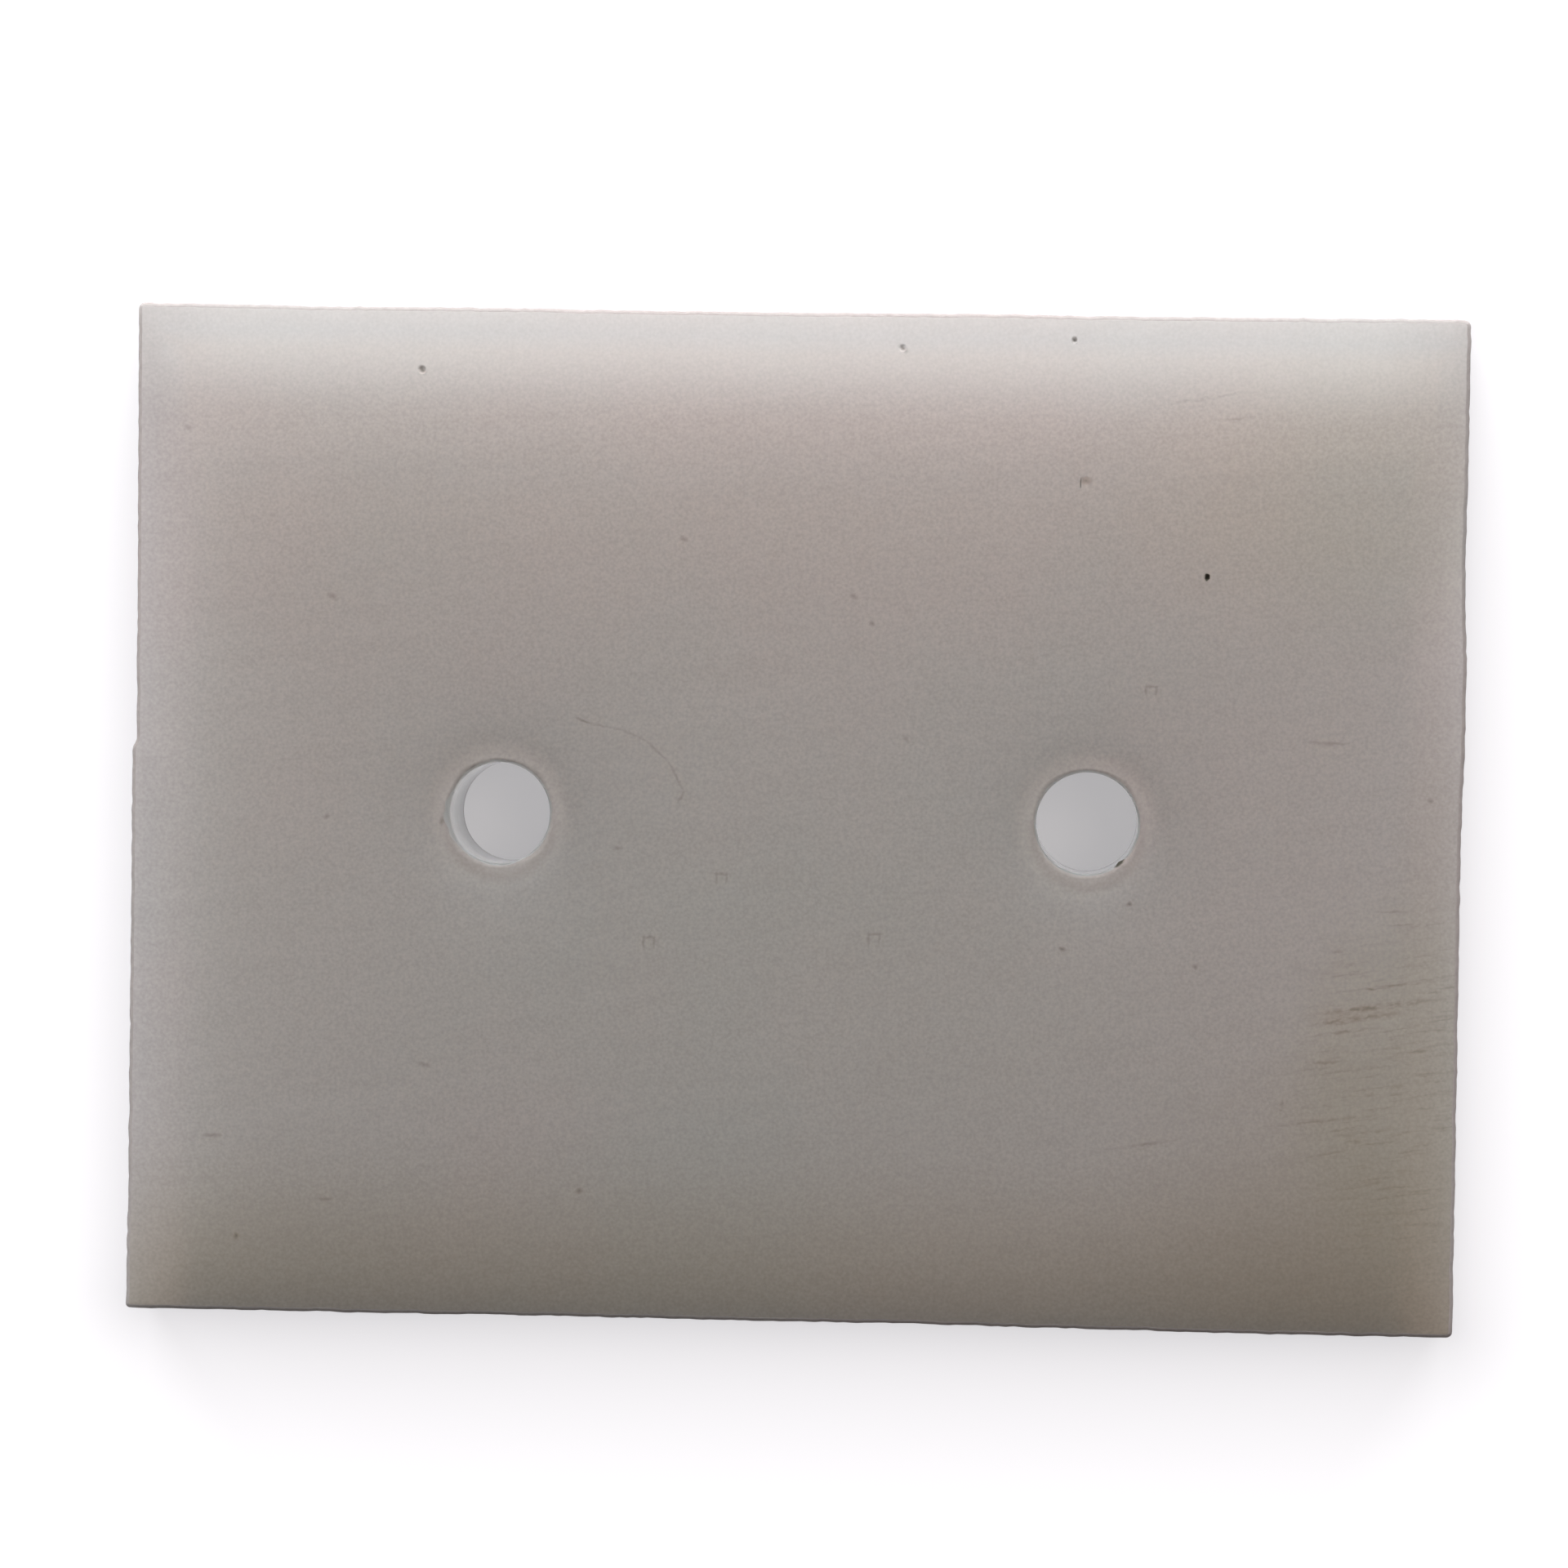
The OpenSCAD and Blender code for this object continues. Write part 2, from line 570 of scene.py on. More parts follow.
# %% Marks of use
# Middle x and y, half-length and half-width, angle, darkness
PIT_MARKS = [
    (41.0, 24.8, 0.33, 0.24, 80, 1.0),
    (27.4, 48.2, 0.34, 0.30, 90, 0.18),
    (33.9, -8.0, 0.30, 0.28, 0, 0.15),
    # Painted shadow of the swarf sliver on the right hole's rim
    (32.8, -3.9, 0.62, 0.23, 40, 0.50),
]
SPECKS = [
    (10.3, 47.2, 0.55, 0.28, -45, 0.38),
    (-38.0, 44.4, 0.50, 0.32, -60, 0.48),
    (28.8, 34.2, 0.60, 0.42, 0, 0.40),
    (27.3, -12.6, 0.32, 0.24, 0, 0.38),
    (40.5, -14.1, 0.28, 0.24, 0, 0.30),
    (-20.8, -37.9, 0.36, 0.28, 20, 0.34),
    (-55.5, -43.2, 0.28, 0.26, 90, 0.42),
    (7.7, 19.6, 0.30, 0.24, 0, 0.26),
    (5.8, 22.3, 0.45, 0.28, -30, 0.24),
    (-11.3, 27.8, 0.45, 0.26, -35, 0.26),
    (-46.7, 21.5, 0.55, 0.32, -25, 0.24),
    (-47.0, -0.7, 0.32, 0.26, 0, 0.28),
    (-61.7, 38.3, 0.45, 0.30, 0, 0.18),
    (63.6, 2.9, 0.35, 0.26, 0, 0.28),
    (-36.6, -25.5, 0.60, 0.28, -12, 0.22),
    (-58.1, -33.1, 0.90, 0.22, 0, 0.24),
    (-46.6, -39.3, 0.80, 0.22, 0, 0.22),
    (53.6, 8.4, 1.60, 0.20, 0, 0.24),
    (-17.5, -3.3, 0.40, 0.24, 10, 0.24),
    (11.3, 8.1, 0.60, 0.18, -50, 0.16),
    (-32.3, 4.4, 0.60, 0.22, 35, 0.34),
    (-35.3, -0.9, 0.50, 0.26, 80, 0.36),
]
SCUFFS = [
    (58.9, -17.7, 6.2, 0.28, 8, 0.32),
    (57.2, -18.9, 4.6, 0.34, 10, 0.34),
    (54.2, -19.3, 1.6, 0.46, 9, 0.18),
    (56.6, -18.2, 3.6, 0.40, 8, 0.14),
    (55.6, -20.3, 3.2, 0.18, 8, 0.28),
    (59.6, -15.7, 6.1, 0.14, 8, 0.24),
    (59.0, -15.8, 1.7, 0.18, 8, 0.26),
    (55.8, -14.6, 2.6, 0.14, 9, 0.20),
    (62.1, -13.6, 1.7, 0.14, 7, 0.20),
    (61.1, -9.5, 1.8, 0.14, 4, 0.18),
    (60.6, -8.2, 2.3, 0.14, 3, 0.18),
    (54.8, -12.3, 0.7, 0.16, 12, 0.20),
    (53.7, -23.4, 1.8, 0.22, 5, 0.24),
    (62.5, -22.1, 1.7, 0.18, 5, 0.24),
    (58.3, -26.5, 0.7, 0.24, 9, 0.24),
    (49.4, -28.0, 0.6, 0.24, 90, 0.24),
    (35.7, -32.0, 3.3, 0.18, 9, 0.20),
    (53.9, -29.2, 5.3, 0.15, 7, 0.22),
    (56.8, -31.2, 1.0, 0.18, 8, 0.24),
    (60.9, -30.4, 1.3, 0.18, 16, 0.24),
    (63.5, -36.0, 2.4, 0.15, 4, 0.20),
    (40.6, 42.6, 3.9, 0.20, 10, 0.14),
    (43.7, 40.6, 2.1, 0.18, 6, 0.14),
    (52.8, 8.5, 1.6, 0.14, 0, 0.18),
]
HAIR = [(-21.7, 9.6), (-20.7, 9.2), (-17.5, 8.6), (-14.9, 7.6), (-12.4, 5.2), (-10.9, 2.4), (-11.5, 1.4)]
HAIR_DARKNESS = [0.32, 0.14, 0.14, 0.18, 0.20, 0.20]
# Middle x and y, and size
HOOKS = [(35.7, 13.3, 1.0), (-14.2, -12.8, 1.1), (8.4, -12.0, 1.1), (-7.0, -6.2, 1.0)]
HOOK_DARKNESS = 0.21
STROKE = 0.15
# A cone is wider than its ellipse, because its rim is too faint to see
CONE_SPREAD = 1.35
# How steep the cones are: a steep one is cut off at 1, which gives it a firm edge
FAINT = 1.5
HARD = 4.0


def strokes(path, darkness):
    """Marks along a path: an ellipse from each point to the next, a little longer than the gap."""
    start, stop = np.array(path[:-1]), np.array(path[1:])
    middle, step = (start + stop) / 2, stop - start
    half = np.hypot(*step.T) / 2 + STROKE
    angle = np.degrees(np.arctan2(step[:, 1], step[:, 0]))
    return [(*m, h, STROKE, a, d) for m, h, a, d in zip(middle.tolist(), half, angle, darkness)]


hook_strokes = []
for x, y, size in HOOKS:
    left, right = x - size / 2, x + size / 2
    corners = [(left, y - size / 2), (left, y + size / 2), (right, y + size / 2), (right, y - size / 3)]
    hook_strokes += strokes(corners, [HOOK_DARKNESS] * 3)


def mark_mask(tree, place, marks, gain):
    """Darkness of the marks, at most 1: a sum of cones.

    Each cone is 1 in the middle of its ellipse and 0 at its rim, times its darkness and the gain.
    """
    mask = 0.0
    for x, y, half_length, half_width, angle, darkness in marks:
        cone = add(tree, "ShaderNodeTexGradient", {"Vector": place}, gradient_type="SPHERICAL")
        cone.texture_mapping.vector_type = "TEXTURE"
        cone.texture_mapping.translation = (x, y, thickness)
        cone.texture_mapping.rotation = (0, 0, np.radians(angle))
        cone.texture_mapping.scale = (CONE_SPREAD * half_length, CONE_SPREAD * half_width, 1.0)
        inputs = {0: cone.outputs["Fac"], 1: gain * darkness, 2: mask}
        mask = add(tree, "ShaderNodeMath", inputs, operation="MULTIPLY_ADD").outputs[0]
    return add(tree, "ShaderNodeMath", {0: mask, 1: 1.0}, operation="MINIMUM").outputs[0]


print("marks:", len(PIT_MARKS) + len(SPECKS) + len(SCUFFS) + len(hook_strokes) + len(HAIR) - 1)

# %% [markdown]
# Now the wear face's material, from the bottom up. First comes nylon with the shade of its skin. Clamping
# and sawing bruised a border along the left, right and back sides: it lets less light through. The same
# sides are tinted cool, a painted cool light where they are lit. Along the back lies a painted glow: a
# paler strip, which is weaker at its two ends. The border is a ramp over the distance from each side, and
# the largest ramp wins, so that two sides meet without a seam.

# %% Wear face and back: natural nylon, planed
# Side, distance at which its bruise ends and is full, and how much light it keeps out
BRUISES = [("left", 7.0, 1.5, 0.85), ("right", 6.0, 0.0, 0.86), ("back", 16.0, 0.0, 0.92)]
# The same for the painted cool light
PAINTED_COOL_LIGHT = [
    ("left", 7.5, 1.5, 1.00),
    ("right", 6.0, 0.0, 1.00),
    ("back", 5.5, 2.5, 1.00),
    ("back", 20.0, 8.0, 0.40),
]
# Painted cool light: the bluish cast of the low light on the lit sides
COOL_LIGHT_TINT = "#E6F3FF"
# Distance at which the painted glow along the back ends and is full, and how pale it is
PAINTED_GLOW = (11.5, 2.5, 0.30)
# The strip fades over this distance from each end, to this share
STRIP_FADE = 9.0
STRIP_END = 0.6

# Planed nylon: a satin sheen over a milky depth, so that the face glows near its lit sides
material, tree, place = start_material("natural_nylon_planed")
shade, grain = skin(tree, place)
colour = shaded(tree, nylon_colour(tree, place), shade)
axes = add(tree, "ShaderNodeSeparateXYZ", {0: place})
from_left = add(tree, "ShaderNodeMath", {0: axes.outputs[0], 1: length / 2}, operation="ADD")
from_right = add(tree, "ShaderNodeMath", {0: length / 2, 1: axes.outputs[0]}, operation="SUBTRACT")
from_back = add(tree, "ShaderNodeMath", {0: width / 2, 1: axes.outputs[1]}, operation="SUBTRACT")
gaps = {"left": from_left.outputs[0], "right": from_right.outputs[0], "back": from_back.outputs[0]}


def border(spans):
    """Largest of some ramps: each is 0 at its first distance from its side, and its share at the second."""
    largest = 0.0
    for side, ends, full, share in spans:
        ramp = {"Value": gaps[side], "From Min": ends, "From Max": full, "To Max": share}
        ramp = add(tree, "ShaderNodeMapRange", ramp).outputs[0]
        largest = add(tree, "ShaderNodeMath", {0: largest, 1: ramp}, operation="MAXIMUM").outputs[0]
    return largest


# Painted cool light on the lit sides
colour = tinted(tree, colour, border(PAINTED_COOL_LIGHT), COOL_LIGHT_TINT)
# Painted glow: the back edge, which the low light makes glow, is turned paler
strip = {"Value": gaps["back"], "From Min": PAINTED_GLOW[0], "From Max": PAINTED_GLOW[1], "To Max": PAINTED_GLOW[2]}
strip = add(tree, "ShaderNodeMapRange", strip, interpolation_type="SMOOTHSTEP")
from_end = add(tree, "ShaderNodeMath", {0: gaps["left"], 1: gaps["right"]}, operation="MINIMUM")
ends = {"Value": from_end.outputs[0], "From Max": STRIP_FADE, "To Min": STRIP_END}
ends = add(tree, "ShaderNodeMapRange", ends)
strip = add(tree, "ShaderNodeMath", {0: strip.outputs[0], 1: ends.outputs[0]}, operation="MULTIPLY")
paler = {0: strip.outputs[0], 6: colour, 7: linear(NYLON_GLOW_PALE)}
colour = add(tree, "ShaderNodeMix", paler, data_type="RGBA").outputs[2]
print("border ramps:", len(BRUISES) + len(PAINTED_COOL_LIGHT))

# %% [markdown]
# The drill bruised a ring round each hole in the same way, and the ring gets the same painted cool tint. A
# painted shade lies round each hole too, most of it in front. Both holes are drawn at once: the place is
# folded over the middle, so that the left hole falls on the right one.

# %% Bruise and soil round the holes
# How far the bruise reaches and how much light it keeps out
HOLE_BRUISE = (2.8, 0.54)
# Painted shade round each hole: its reach, how far its middle sits to the front, and its tint
HOLE_SHADE_REACH = 1.3
HOLE_SHADE_SHIFT = -1.2
HOLE_SHADE_TINT = "#E4E2E0"

folded_x = add(tree, "ShaderNodeMath", {0: axes.outputs[0]}, operation="ABSOLUTE")
folded = {0: folded_x.outputs[0], 1: axes.outputs[1], 2: axes.outputs[2]}
folded = add(tree, "ShaderNodeCombineXYZ", folded)
from_axis = {0: folded.outputs[0], 1: (hole_centres[1], 0.0, thickness)}
from_axis = add(tree, "ShaderNodeVectorMath", from_axis, operation="DISTANCE")
bruise = {
    "Value": from_axis.outputs["Value"],
    "From Min": hole_radius + HOLE_BRUISE[0],
    "From Max": hole_radius,
    "To Max": HOLE_BRUISE[1],
}
bruise = add(tree, "ShaderNodeMapRange", bruise, interpolation_type="SMOOTHSTEP")
# The ring round each hole gets the same painted cool tint
colour = tinted(tree, colour, bruise.outputs[0], COOL_LIGHT_TINT)
bruise = add(tree, "ShaderNodeMath", {0: border(BRUISES), 1: bruise.outputs[0]}, operation="MAXIMUM")
depth = add(tree, "ShaderNodeMath", {0: 1.0, 1: bruise.outputs[0]}, operation="SUBTRACT")

# Painted shade round each hole, most of it in front
from_shade_centre = {0: folded.outputs[0], 1: (hole_centres[1], HOLE_SHADE_SHIFT, thickness)}
from_shade_centre = add(tree, "ShaderNodeVectorMath", from_shade_centre, operation="DISTANCE")
ring = {"Value": from_shade_centre.outputs["Value"], "From Min": hole_radius + HOLE_SHADE_REACH, "From Max": hole_radius}
ring = add(tree, "ShaderNodeMapRange", ring, interpolation_type="SMOOTHSTEP")
colour = tinted(tree, colour, ring.outputs[0], HOLE_SHADE_TINT)
print("bruise ends, mm from the axis:", round(hole_radius + HOLE_BRUISE[0], 2))

# %% [markdown]
# The face has slow changes of hue. A painted shade, darker and yellower, lies along the front edge. The
# colour is also darker towards the front right corner and along the right side, greener in the middle and
# warmer in the back right corner, and years of handling left the scuffed patch. Each is a soft ellipse that
# multiplies the colour by a tint close to white, because a stronger one would look painted on.

# %% Painted front shade and patches
FRONT_SHADE_REACH = 21.0
FRONT_SHADE_TINT = "#E4DFD3"
# Half-height of a patch: so tall that height does not count
TALL = 1000.0
# Middle x and y, half-size along x and y, tint
PATCHES = [
    # The first and last patches make the front right corner and the right side darker
    (64.0, -44.0, 40.0, 34.0, "#EDECE6"),
    (4.0, -20.0, 52.0, 32.0, "#F6FCFB"),
    (58.0, 33.0, 34.0, 19.0, "#FFFDF8"),
    (67.0, -10.0, 9.0, 34.0, "#F1F2EF"),
]
PATCH_CORE = 0.2
SCUFFED = (62.0, -26.0, 15.0, 24.0, "#F7F9F3")
SCUFFED_CORE = 0.4

# Painted shade: darker and yellower towards the front edge
front_shade = {"Value": axes.outputs[1], "From Min": FRONT_SHADE_REACH - width / 2, "From Max": -width / 2}
front_shade = add(tree, "ShaderNodeMapRange", front_shade, interpolation_type="SMOOTHSTEP")
colour = tinted(tree, colour, front_shade.outputs[0], FRONT_SHADE_TINT)


def soft_ellipse(x, y, reach_x, reach_y, core):
    """1 in the core of an ellipse, easing to 0 at its rim."""
    local = {"Vector": place, "Location": (x, y, 0.0), "Scale": (reach_x, reach_y, TALL)}
    local = add(tree, "ShaderNodeMapping", local, vector_type="TEXTURE")
    away = add(tree, "ShaderNodeVectorMath", {0: local.outputs[0]}, operation="LENGTH")
    inside = {"Value": away.outputs["Value"], "From Min": 1.0, "From Max": core}
    return add(tree, "ShaderNodeMapRange", inside, interpolation_type="SMOOTHSTEP").outputs[0]


for *ellipse, tint in PATCHES:
    colour = tinted(tree, colour, soft_ellipse(*ellipse, PATCH_CORE), tint)
*ellipse, tint = SCUFFED
scuffed = soft_ellipse(*ellipse, SCUFFED_CORE)
colour = tinted(tree, colour, scuffed, tint)
print("patches:", len(PATCHES) + 1)

# %% [markdown]
# The marks lie on top. In the scuffed patch, fine streaks of noise run between the marks in the same
# direction, and a finer noise breaks marks and streaks into crumbs, as dirt does that is caught in torn
# nylon.

# %% Draw the marks
# Size of the noise that bends the marks, and how far it bends them
WOBBLE_SIZE = 0.625
BEND = 0.16
STREAK_SIZE = (5.0, 0.42, 100.0)
# Noise values at which a streak starts and is darkest, and how dark it gets
STREAK_RANGE = (0.53, 0.74)
STREAK_DARKNESS = 0.26
CRUMB_SIZE = (0.9, 0.4, 100.0)
# Noise values between which crumbs turn from faint to strong, and how strong they are
CRUMB_RANGE = (0.38, 0.58)
CRUMB_STRENGTH = (0.25, 1.1)

wobble = add(tree, "ShaderNodeTexNoise", {"Vector": place, "Scale": 1 / WOBBLE_SIZE, "Detail": 1.0})
wobble = {0: wobble.outputs["Color"], 1: (0.5, 0.5, 0.5)}
wobble = add(tree, "ShaderNodeVectorMath", wobble, operation="SUBTRACT")
bent = {0: wobble.outputs[0], 1: (2 * BEND, 2 * BEND, 0), 2: place}
bent = add(tree, "ShaderNodeVectorMath", bent, operation="MULTIPLY_ADD").outputs[0]
pits = mark_mask(tree, bent, PIT_MARKS, HARD)
specks = mark_mask(tree, bent, SPECKS + strokes(HAIR, HAIR_DARKNESS) + hook_strokes, FAINT)
specks = add(tree, "ShaderNodeMath", {0: pits, 1: specks}, operation="MAXIMUM")
scuffs = mark_mask(tree, bent, SCUFFS, FAINT)

streaks = {"Vector": bent, "Rotation": (0, 0, LINE_ANGLE), "Scale": STREAK_SIZE}
streaks = add(tree, "ShaderNodeMapping", streaks, vector_type="TEXTURE")
streaks = add(tree, "ShaderNodeTexNoise", {"Vector": streaks.outputs[0], "Scale": 1.0, "Detail": 2.0})
rubbed = {
    "Value": streaks.outputs["Fac"],
    "From Min": STREAK_RANGE[0],
    "From Max": STREAK_RANGE[1],
    "To Max": STREAK_DARKNESS,
}
rubbed = add(tree, "ShaderNodeMapRange", rubbed)
rubbed = add(tree, "ShaderNodeMath", {0: rubbed.outputs[0], 1: scuffed}, operation="MULTIPLY")
crumbs = {"Vector": bent, "Rotation": (0, 0, LINE_ANGLE), "Scale": CRUMB_SIZE}
crumbs = add(tree, "ShaderNodeMapping", crumbs, vector_type="TEXTURE")
crumbs = add(tree, "ShaderNodeTexNoise", {"Vector": crumbs.outputs[0], "Scale": 1.0, "Detail": 1.0})
broken = {
    "Value": crumbs.outputs["Fac"],
    "From Min": CRUMB_RANGE[0],
    "From Max": CRUMB_RANGE[1],
    "To Min": CRUMB_STRENGTH[0],
    "To Max": CRUMB_STRENGTH[1],
}
broken = add(tree, "ShaderNodeMapRange", broken)
rubbed = add(tree, "ShaderNodeMath", {0: rubbed.outputs[0], 1: broken.outputs[0]}, operation="MULTIPLY")
scuffs = add(tree, "ShaderNodeMath", {0: scuffs, 1: broken.outputs[0]}, operation="MULTIPLY")
scuffs = add(tree, "ShaderNodeMath", {0: scuffs.outputs[0], 1: rubbed.outputs[0]}, operation="MAXIMUM")
marks = add(tree, "ShaderNodeMath", {0: specks.outputs[0], 1: scuffs.outputs[0]}, operation="MAXIMUM")
print("planed face nodes so far:", len(tree.nodes))

# %% [markdown]
# Dirt in a mark covers the nylon, so a mark changes three things: its colour goes to that of dirt, its
# surface gets rougher, and light stops going in there. The last one matters most: without it, light from
# below would wash the marks out. The mark at the sliver is painted shadow in the same dark colour.

# %% Surface of the planed face
DIRT_AND_SHADOW = "#34322B"
# Roughness where the grain is low and high, and what a mark adds
PLANED_ROUGHNESS = (0.44, 0.56)
MARK_ROUGHNESS = 0.3

soiled = {0: marks.outputs[0], 6: colour, 7: linear(DIRT_AND_SHADOW)}
colour = add(tree, "ShaderNodeMix", soiled, data_type="RGBA").outputs[2]
roughness = {
    "Value": grain,
    "From Min": NOISE_LOW,
    "From Max": NOISE_HIGH,
    "To Min": PLANED_ROUGHNESS[0],
    "To Max": PLANED_ROUGHNESS[1],
}
roughness = add(tree, "ShaderNodeMapRange", roughness)
roughness = {0: marks.outputs[0], 1: MARK_ROUGHNESS, 2: roughness.outputs[0]}
roughness = add(tree, "ShaderNodeMath", roughness, operation="MULTIPLY_ADD")
clean = add(tree, "ShaderNodeMath", {0: 1.0, 1: marks.outputs[0]}, operation="SUBTRACT")
depth = add(tree, "ShaderNodeMath", {0: depth.outputs[0], 1: clean.outputs[0]}, operation="MULTIPLY")
nylon_surface(tree, colour, roughness.outputs[0], depth=depth.outputs[0])
pad_mesh.materials.append(material)
print("planed face nodes:", len(tree.nodes))

# %% [markdown]
# A saw tears nylon more than it cuts it. The sides are duller and rougher than the faces, and close,
# slightly leaning lines run across them from face to face. They are noise again, stretched along the pad's
# thickness. The sides are also painted darker and cooler, a painted shade that keeps the brightly lit sides
# from glaring. The rounded edges, where the burr was scraped off, keep less of that shade and get a cool
# tint: painted cool light.

# %% Sides: natural nylon, sawn
TOOTH_SIZE = (0.55, 0.55, 14.0)
TOOTH_SHADE = 0.09
TOOTH_RELIEF = 0.05
TOOTH_LEAN = np.radians(7)
# Painted shade on the sides
SAWN_SHADE_TINT = "#DADDE0"
SAWN_ROUGHNESS = 0.62
SIDE_DEPTH = 0.35
# Distance from the face at which the painted light on the rounded edge ends and is full
EDGE_ENDS, EDGE_FULL = 0.75, 0.1
# Painted cool light on the rounded edges
EDGE_COOL_LIGHT = "#E6EEF6"
# Share of the painted side shade that is left on the rounded edge
EDGE_SHADE_SHARE = 0.5
EDGE_DEPTH = 0.15

# Sawn nylon: dull and streaked, with less depth, because its torn skin scatters light at once
material, tree, place = start_material("natural_nylon_sawn")
toothed = {"Vector": place, "Rotation": (TOOTH_LEAN, TOOTH_LEAN, 0), "Scale": TOOTH_SIZE}
toothed = add(tree, "ShaderNodeMapping", toothed, vector_type="TEXTURE")
teeth = add(tree, "ShaderNodeTexNoise", {"Vector": toothed.outputs[0], "Scale": 1.0, "Detail": 3.0})
shade = {
    "Value": teeth.outputs["Fac"],
    "From Min": NOISE_LOW,
    "From Max": NOISE_HIGH,
    "To Min": 1 - TOOTH_SHADE,
    "To Max": 1 + TOOTH_SHADE,
}
shade = add(tree, "ShaderNodeMapRange", shade)
colour = shaded(tree, nylon_colour(tree, place), shade.outputs[0])

axes = add(tree, "ShaderNodeSeparateXYZ", {0: place})
off_middle = add(tree, "ShaderNodeMath", {0: axes.outputs[2], 1: thickness / 2}, operation="SUBTRACT")
off_middle = add(tree, "ShaderNodeMath", {0: off_middle.outputs[0]}, operation="ABSOLUTE")
edge_light = {
    "Value": off_middle.outputs[0],
    "From Min": thickness / 2 - EDGE_ENDS,
    "From Max": thickness / 2 - EDGE_FULL,
}
edge_light = add(tree, "ShaderNodeMapRange", edge_light, interpolation_type="SMOOTHSTEP")
sawn_shade = add(tree, "ShaderNodeMapRange", {"Value": edge_light.outputs[0], "To Min": 1.0, "To Max": EDGE_SHADE_SHARE})
colour = tinted(tree, colour, sawn_shade.outputs[0], SAWN_SHADE_TINT)
colour = tinted(tree, colour, edge_light.outputs[0], EDGE_COOL_LIGHT)
relief = add(tree, "ShaderNodeMath", {0: teeth.outputs["Fac"], 1: TOOTH_RELIEF}, operation="MULTIPLY")
depth = {"Value": edge_light.outputs[0], "To Min": SIDE_DEPTH, "To Max": EDGE_DEPTH}
depth = add(tree, "ShaderNodeMapRange", depth)
nylon_surface(tree, colour, SAWN_ROUGHNESS, relief.outputs[0], depth.outputs[0])
pad_mesh.materials.append(material)
print("sawn side nodes:", len(tree.nodes))

# %% [markdown]
# A drill leaves fine rings, and where nylon is strained it turns pale. The pale is made strong enough to
# stand in for light that the wall catches, so it is partly painted light. The bolts then burnished the
# wall, so it is glossy and mirrors the card below. Its upper end is painted darker, a painted shade that
# keeps the rim from shining. So the bore is lighter than the faces, and its noise is stretched round the
# hole, which is nearly the same as squeezing it along the axis.

# %% Bores: natural nylon, drilled
# Partly strain-whitened nylon, partly painted light on the bore wall
DRILLED_PALE_AND_LIT = "#EAE6E3"
RING_SIZE = (9.0, 9.0, 0.35)
# Noise values at which the wall is plain nylon and fully pale
PALE_RANGE = (0.1, 0.5)
# Painted shade at the upper end of the bore
RIM_SHADE_TINT = "#C2C0BE"
RIM_SHADE_REACH = 9.0
BORE_ROUGHNESS = 0.12

# Drilled nylon: burnished, and pale partly from strain and partly as painted light, so that the wall looks
# almost as bright as the card below
material, tree, place = start_material("natural_nylon_drilled")
ringed = add(tree, "ShaderNodeMapping", {"Vector": place, "Scale": RING_SIZE}, vector_type="TEXTURE")
rings = add(tree, "ShaderNodeTexNoise", {"Vector": ringed.outputs[0], "Scale": 1.0, "Detail": 3.0})
pale = {"Value": rings.outputs["Fac"], "From Min": PALE_RANGE[0], "From Max": PALE_RANGE[1]}
pale = add(tree, "ShaderNodeMapRange", pale)
pale_and_lit = {0: pale.outputs[0], 6: nylon_colour(tree, place), 7: linear(DRILLED_PALE_AND_LIT)}
colour = add(tree, "ShaderNodeMix", pale_and_lit, data_type="RGBA").outputs[2]
# The last pit mark is the painted shadow of the sliver, which hangs into the bore
sliver_shadow = mark_mask(tree, place, PIT_MARKS[-1:], HARD)
colour = add(tree, "ShaderNodeMix", {0: sliver_shadow, 6: colour, 7: linear(DIRT_AND_SHADOW)}, data_type="RGBA").outputs[2]
axes = add(tree, "ShaderNodeSeparateXYZ", {0: place})
# Painted shade: darker towards the top rim, so that the rim catches no highlight
rim_shade = {"Value": axes.outputs[2], "From Min": thickness - RIM_SHADE_REACH, "From Max": thickness - HOLE_RIM}
rim_shade = add(tree, "ShaderNodeMapRange", rim_shade, interpolation_type="SMOOTHSTEP")
colour = tinted(tree, colour, rim_shade.outputs[0], RIM_SHADE_TINT)
nylon_surface(tree, colour, BORE_ROUGHNESS)
pad_mesh.materials.append(material)
print("bore nodes:", len(tree.nodes))

# %% [markdown]
# The pad lies on plain white card. The card is grey to the light, so that it throws little light back up
# the sides. Rays from the camera see some white added: a little inside the pad's outline, where the holes
# show it, and more the further away, until it is white. The smaller amount near the pad is a painted shade
# round it and in the holes. Mirrored rays see an even half white. The pad's shadow stays.

# %% Floor
FLOOR_HALF = 3.0
FLOOR_DROP = 0.0002
FLOOR_GREY = "#8E8E90"
CARD_WHITE = "#FEFCFF"
# White that the camera sees inside the outline, and that a mirror sees anywhere
ADDED_NEAR = 0.42
ADDED_MIRRORED = 0.50
# Distance from the outline at which the painted shade round the pad ends and the card is all white, and how
# quickly it gets there
PAINTED_SHADE_REACH = 25.0
PAINTED_SHADE_POWER = 0.3

floor_mesh = bpy.data.meshes.new("floor")
floor_signs = ((-1, -1), (1, -1), (1, 1), (-1, 1))
floor_corners = [(sx * FLOOR_HALF, sy * FLOOR_HALF, -FLOOR_DROP) for sx, sy in floor_signs]
floor_mesh.from_pydata(floor_corners, [], [(0, 1, 2, 3)])
floor = bpy.data.objects.new("floor", floor_mesh)
bpy.context.scene.collection.objects.link(floor)

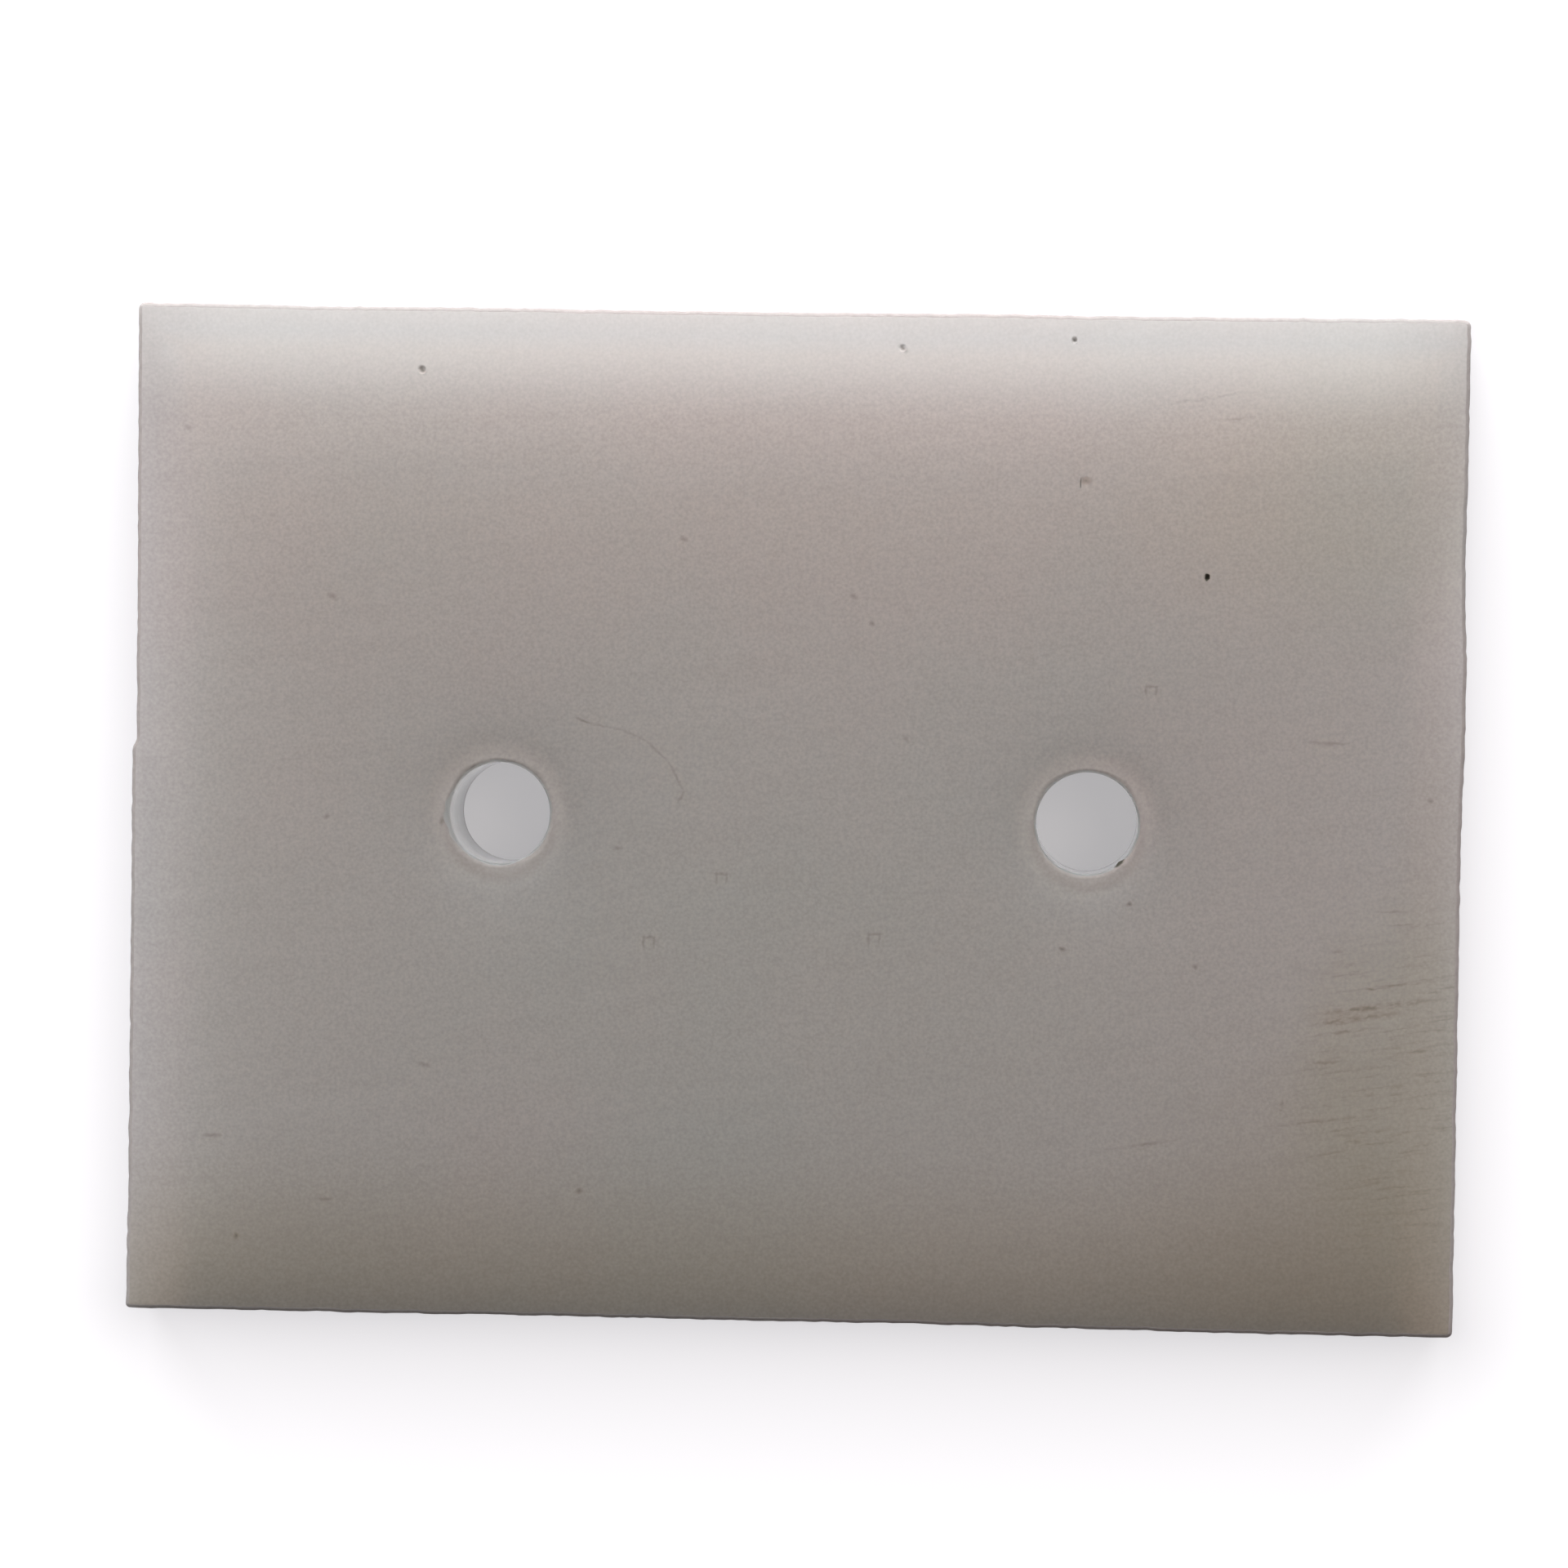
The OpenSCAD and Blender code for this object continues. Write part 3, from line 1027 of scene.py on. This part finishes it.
# White card: matt, with a painted shade round the pad, so that only the pad and its shadow draw the eye
material, tree, place = start_material("white_card_floor")
card = add(tree, "ShaderNodeBsdfDiffuse", {"Color": linear(FLOOR_GREY)})
folded = add(tree, "ShaderNodeVectorMath", {0: place}, operation="ABSOLUTE")
outside = {0: folded.outputs[0], 1: (length / 2, width / 2, TALL)}
outside = add(tree, "ShaderNodeVectorMath", outside, operation="SUBTRACT")
outside = add(tree, "ShaderNodeVectorMath", {0: outside.outputs[0], 1: (0, 0, 0)}, operation="MAXIMUM")
away = add(tree, "ShaderNodeVectorMath", {0: outside.outputs[0]}, operation="LENGTH")
# Painted shade: less white is added near the pad
near = add(tree, "ShaderNodeMath", {0: away.outputs["Value"], 1: PAINTED_SHADE_REACH}, operation="DIVIDE")
near = add(tree, "ShaderNodeMath", {0: near.outputs[0], 1: PAINTED_SHADE_POWER}, operation="POWER")
added = add(tree, "ShaderNodeMapRange", {"Value": near.outputs[0], "To Min": ADDED_NEAR, "To Max": 1.0})
rays = add(tree, "ShaderNodeLightPath")
seen = {0: rays.outputs["Is Camera Ray"], 1: added.outputs[0]}
seen = add(tree, "ShaderNodeMath", seen, operation="MULTIPLY")
seen = {0: rays.outputs["Is Glossy Ray"], 1: ADDED_MIRRORED, 2: seen.outputs[0]}
seen = add(tree, "ShaderNodeMath", seen, operation="MULTIPLY_ADD")
white = add(tree, "ShaderNodeEmission", {"Color": linear(CARD_WHITE), "Strength": seen.outputs[0]})
both = add(tree, "ShaderNodeAddShader", {0: card.outputs[0], 1: white.outputs[0]})
add(tree, "ShaderNodeOutputMaterial", {"Surface": both.outputs[0]})
floor_mesh.materials.append(material)
print("card, m across:", 2 * FLOOR_HALF)

# %% [markdown]
# The light is that of a table in front of a wide window: most of it comes in low from behind the pad, a
# little from the left, and some from a soft lamp overhead on the right. Low light is what makes the far
# edge glow. Each lamp's power is worked out from the brightness that it gives a white card that faces it,
# so the levels can be compared. Lamps are kept out of reflections, because their outlines would show in
# the satin face; an even, weak sky is mirrored instead.

# %% Light
SKY_LEVEL = 0.052
SKY_REFLECTED = 0.4


def add_lamp(name, azimuth, elevation, distance, size, level, colour):
    """Area lamp that faces the pad, seen neither by the camera nor in reflections.

    Power = level times pi squared times distance squared, which gives a facing white card that level.
    """
    a, e = np.radians([azimuth, elevation])
    towards = np.array([np.sin(a) * np.cos(e), np.cos(a) * np.cos(e), np.sin(e)])
    light = bpy.data.lights.new(name, "AREA")
    light.shape = "RECTANGLE"
    light.size, light.size_y = size
    light.energy = level * np.pi**2 * distance**2
    light.color = linear(colour)[:3]
    lamp = bpy.data.objects.new(name, light)
    lamp.location = towards * distance
    lamp.rotation_euler = (np.radians(90 - elevation), 0, np.radians(180 - azimuth))
    lamp.visible_camera = False
    lamp.visible_glossy = False
    bpy.context.scene.collection.objects.link(lamp)
    print("lamp", name, "power, W:", round(light.energy, 2))


add_lamp(
    "window_behind", azimuth=0, elevation=20, distance=0.6,
    size=(0.9, 0.3), level=3.2, colour="#FFFFFF",
)
add_lamp(
    "window_left", azimuth=-80, elevation=12, distance=0.6,
    size=(0.5, 0.25), level=0.48, colour="#FFFFFF",
)
add_lamp(
    "overhead_right", azimuth=70, elevation=62, distance=1.3,
    size=(0.6, 0.6), level=0.24, colour="#FFF6EC",
)

world = bpy.data.worlds.new("studio")
world.use_nodes = True
tree = world.node_tree
tree.nodes.clear()
rays = add(tree, "ShaderNodeLightPath")
seen = {0: rays.outputs["Is Camera Ray"], 1: rays.outputs["Is Transmission Ray"]}
seen = add(tree, "ShaderNodeMath", seen, operation="MAXIMUM")
mirrored = {0: rays.outputs["Is Glossy Ray"], 1: SKY_REFLECTED, 2: SKY_LEVEL}
mirrored = add(tree, "ShaderNodeMath", mirrored, operation="MULTIPLY_ADD")
level = add(tree, "ShaderNodeMath", {0: seen.outputs[0], 1: mirrored.outputs[0]}, operation="MAXIMUM")
sky = add(tree, "ShaderNodeBackground", {"Color": linear("#FFFFFF"), "Strength": level.outputs[0]})
add(tree, "ShaderNodeOutputWorld", {"Surface": sky.outputs[0]})
bpy.context.scene.world = world

# %% [markdown]
# The camera looks almost straight down. Its place and turn come from fitting a pinhole camera to the
# pad's four corners and its two holes, so the outline lands where it should.

# %% Camera
FOCAL_PIXELS = 6000
IMAGE_PIXELS = 1920
SENSOR_WIDTH = 36.0
NEAREST = 0.01
CAMERA_PLACE = (26.6, 11.1, 503.1)
CAMERA_TURN = (-0.842, 3.222, 0.981)

camera_data = bpy.data.cameras.new("camera")
camera_data.sensor_width = SENSOR_WIDTH
camera_data.lens = SENSOR_WIDTH * FOCAL_PIXELS / IMAGE_PIXELS
camera_data.clip_start = NEAREST
camera = bpy.data.objects.new("camera", camera_data)
camera.location = np.array(CAMERA_PLACE) * MM
camera.rotation_euler = np.radians(CAMERA_TURN)
bpy.context.scene.collection.objects.link(camera)
bpy.context.scene.camera = camera
bpy.context.scene.view_settings.view_transform = "Standard"
print("lens, mm:", camera_data.lens)
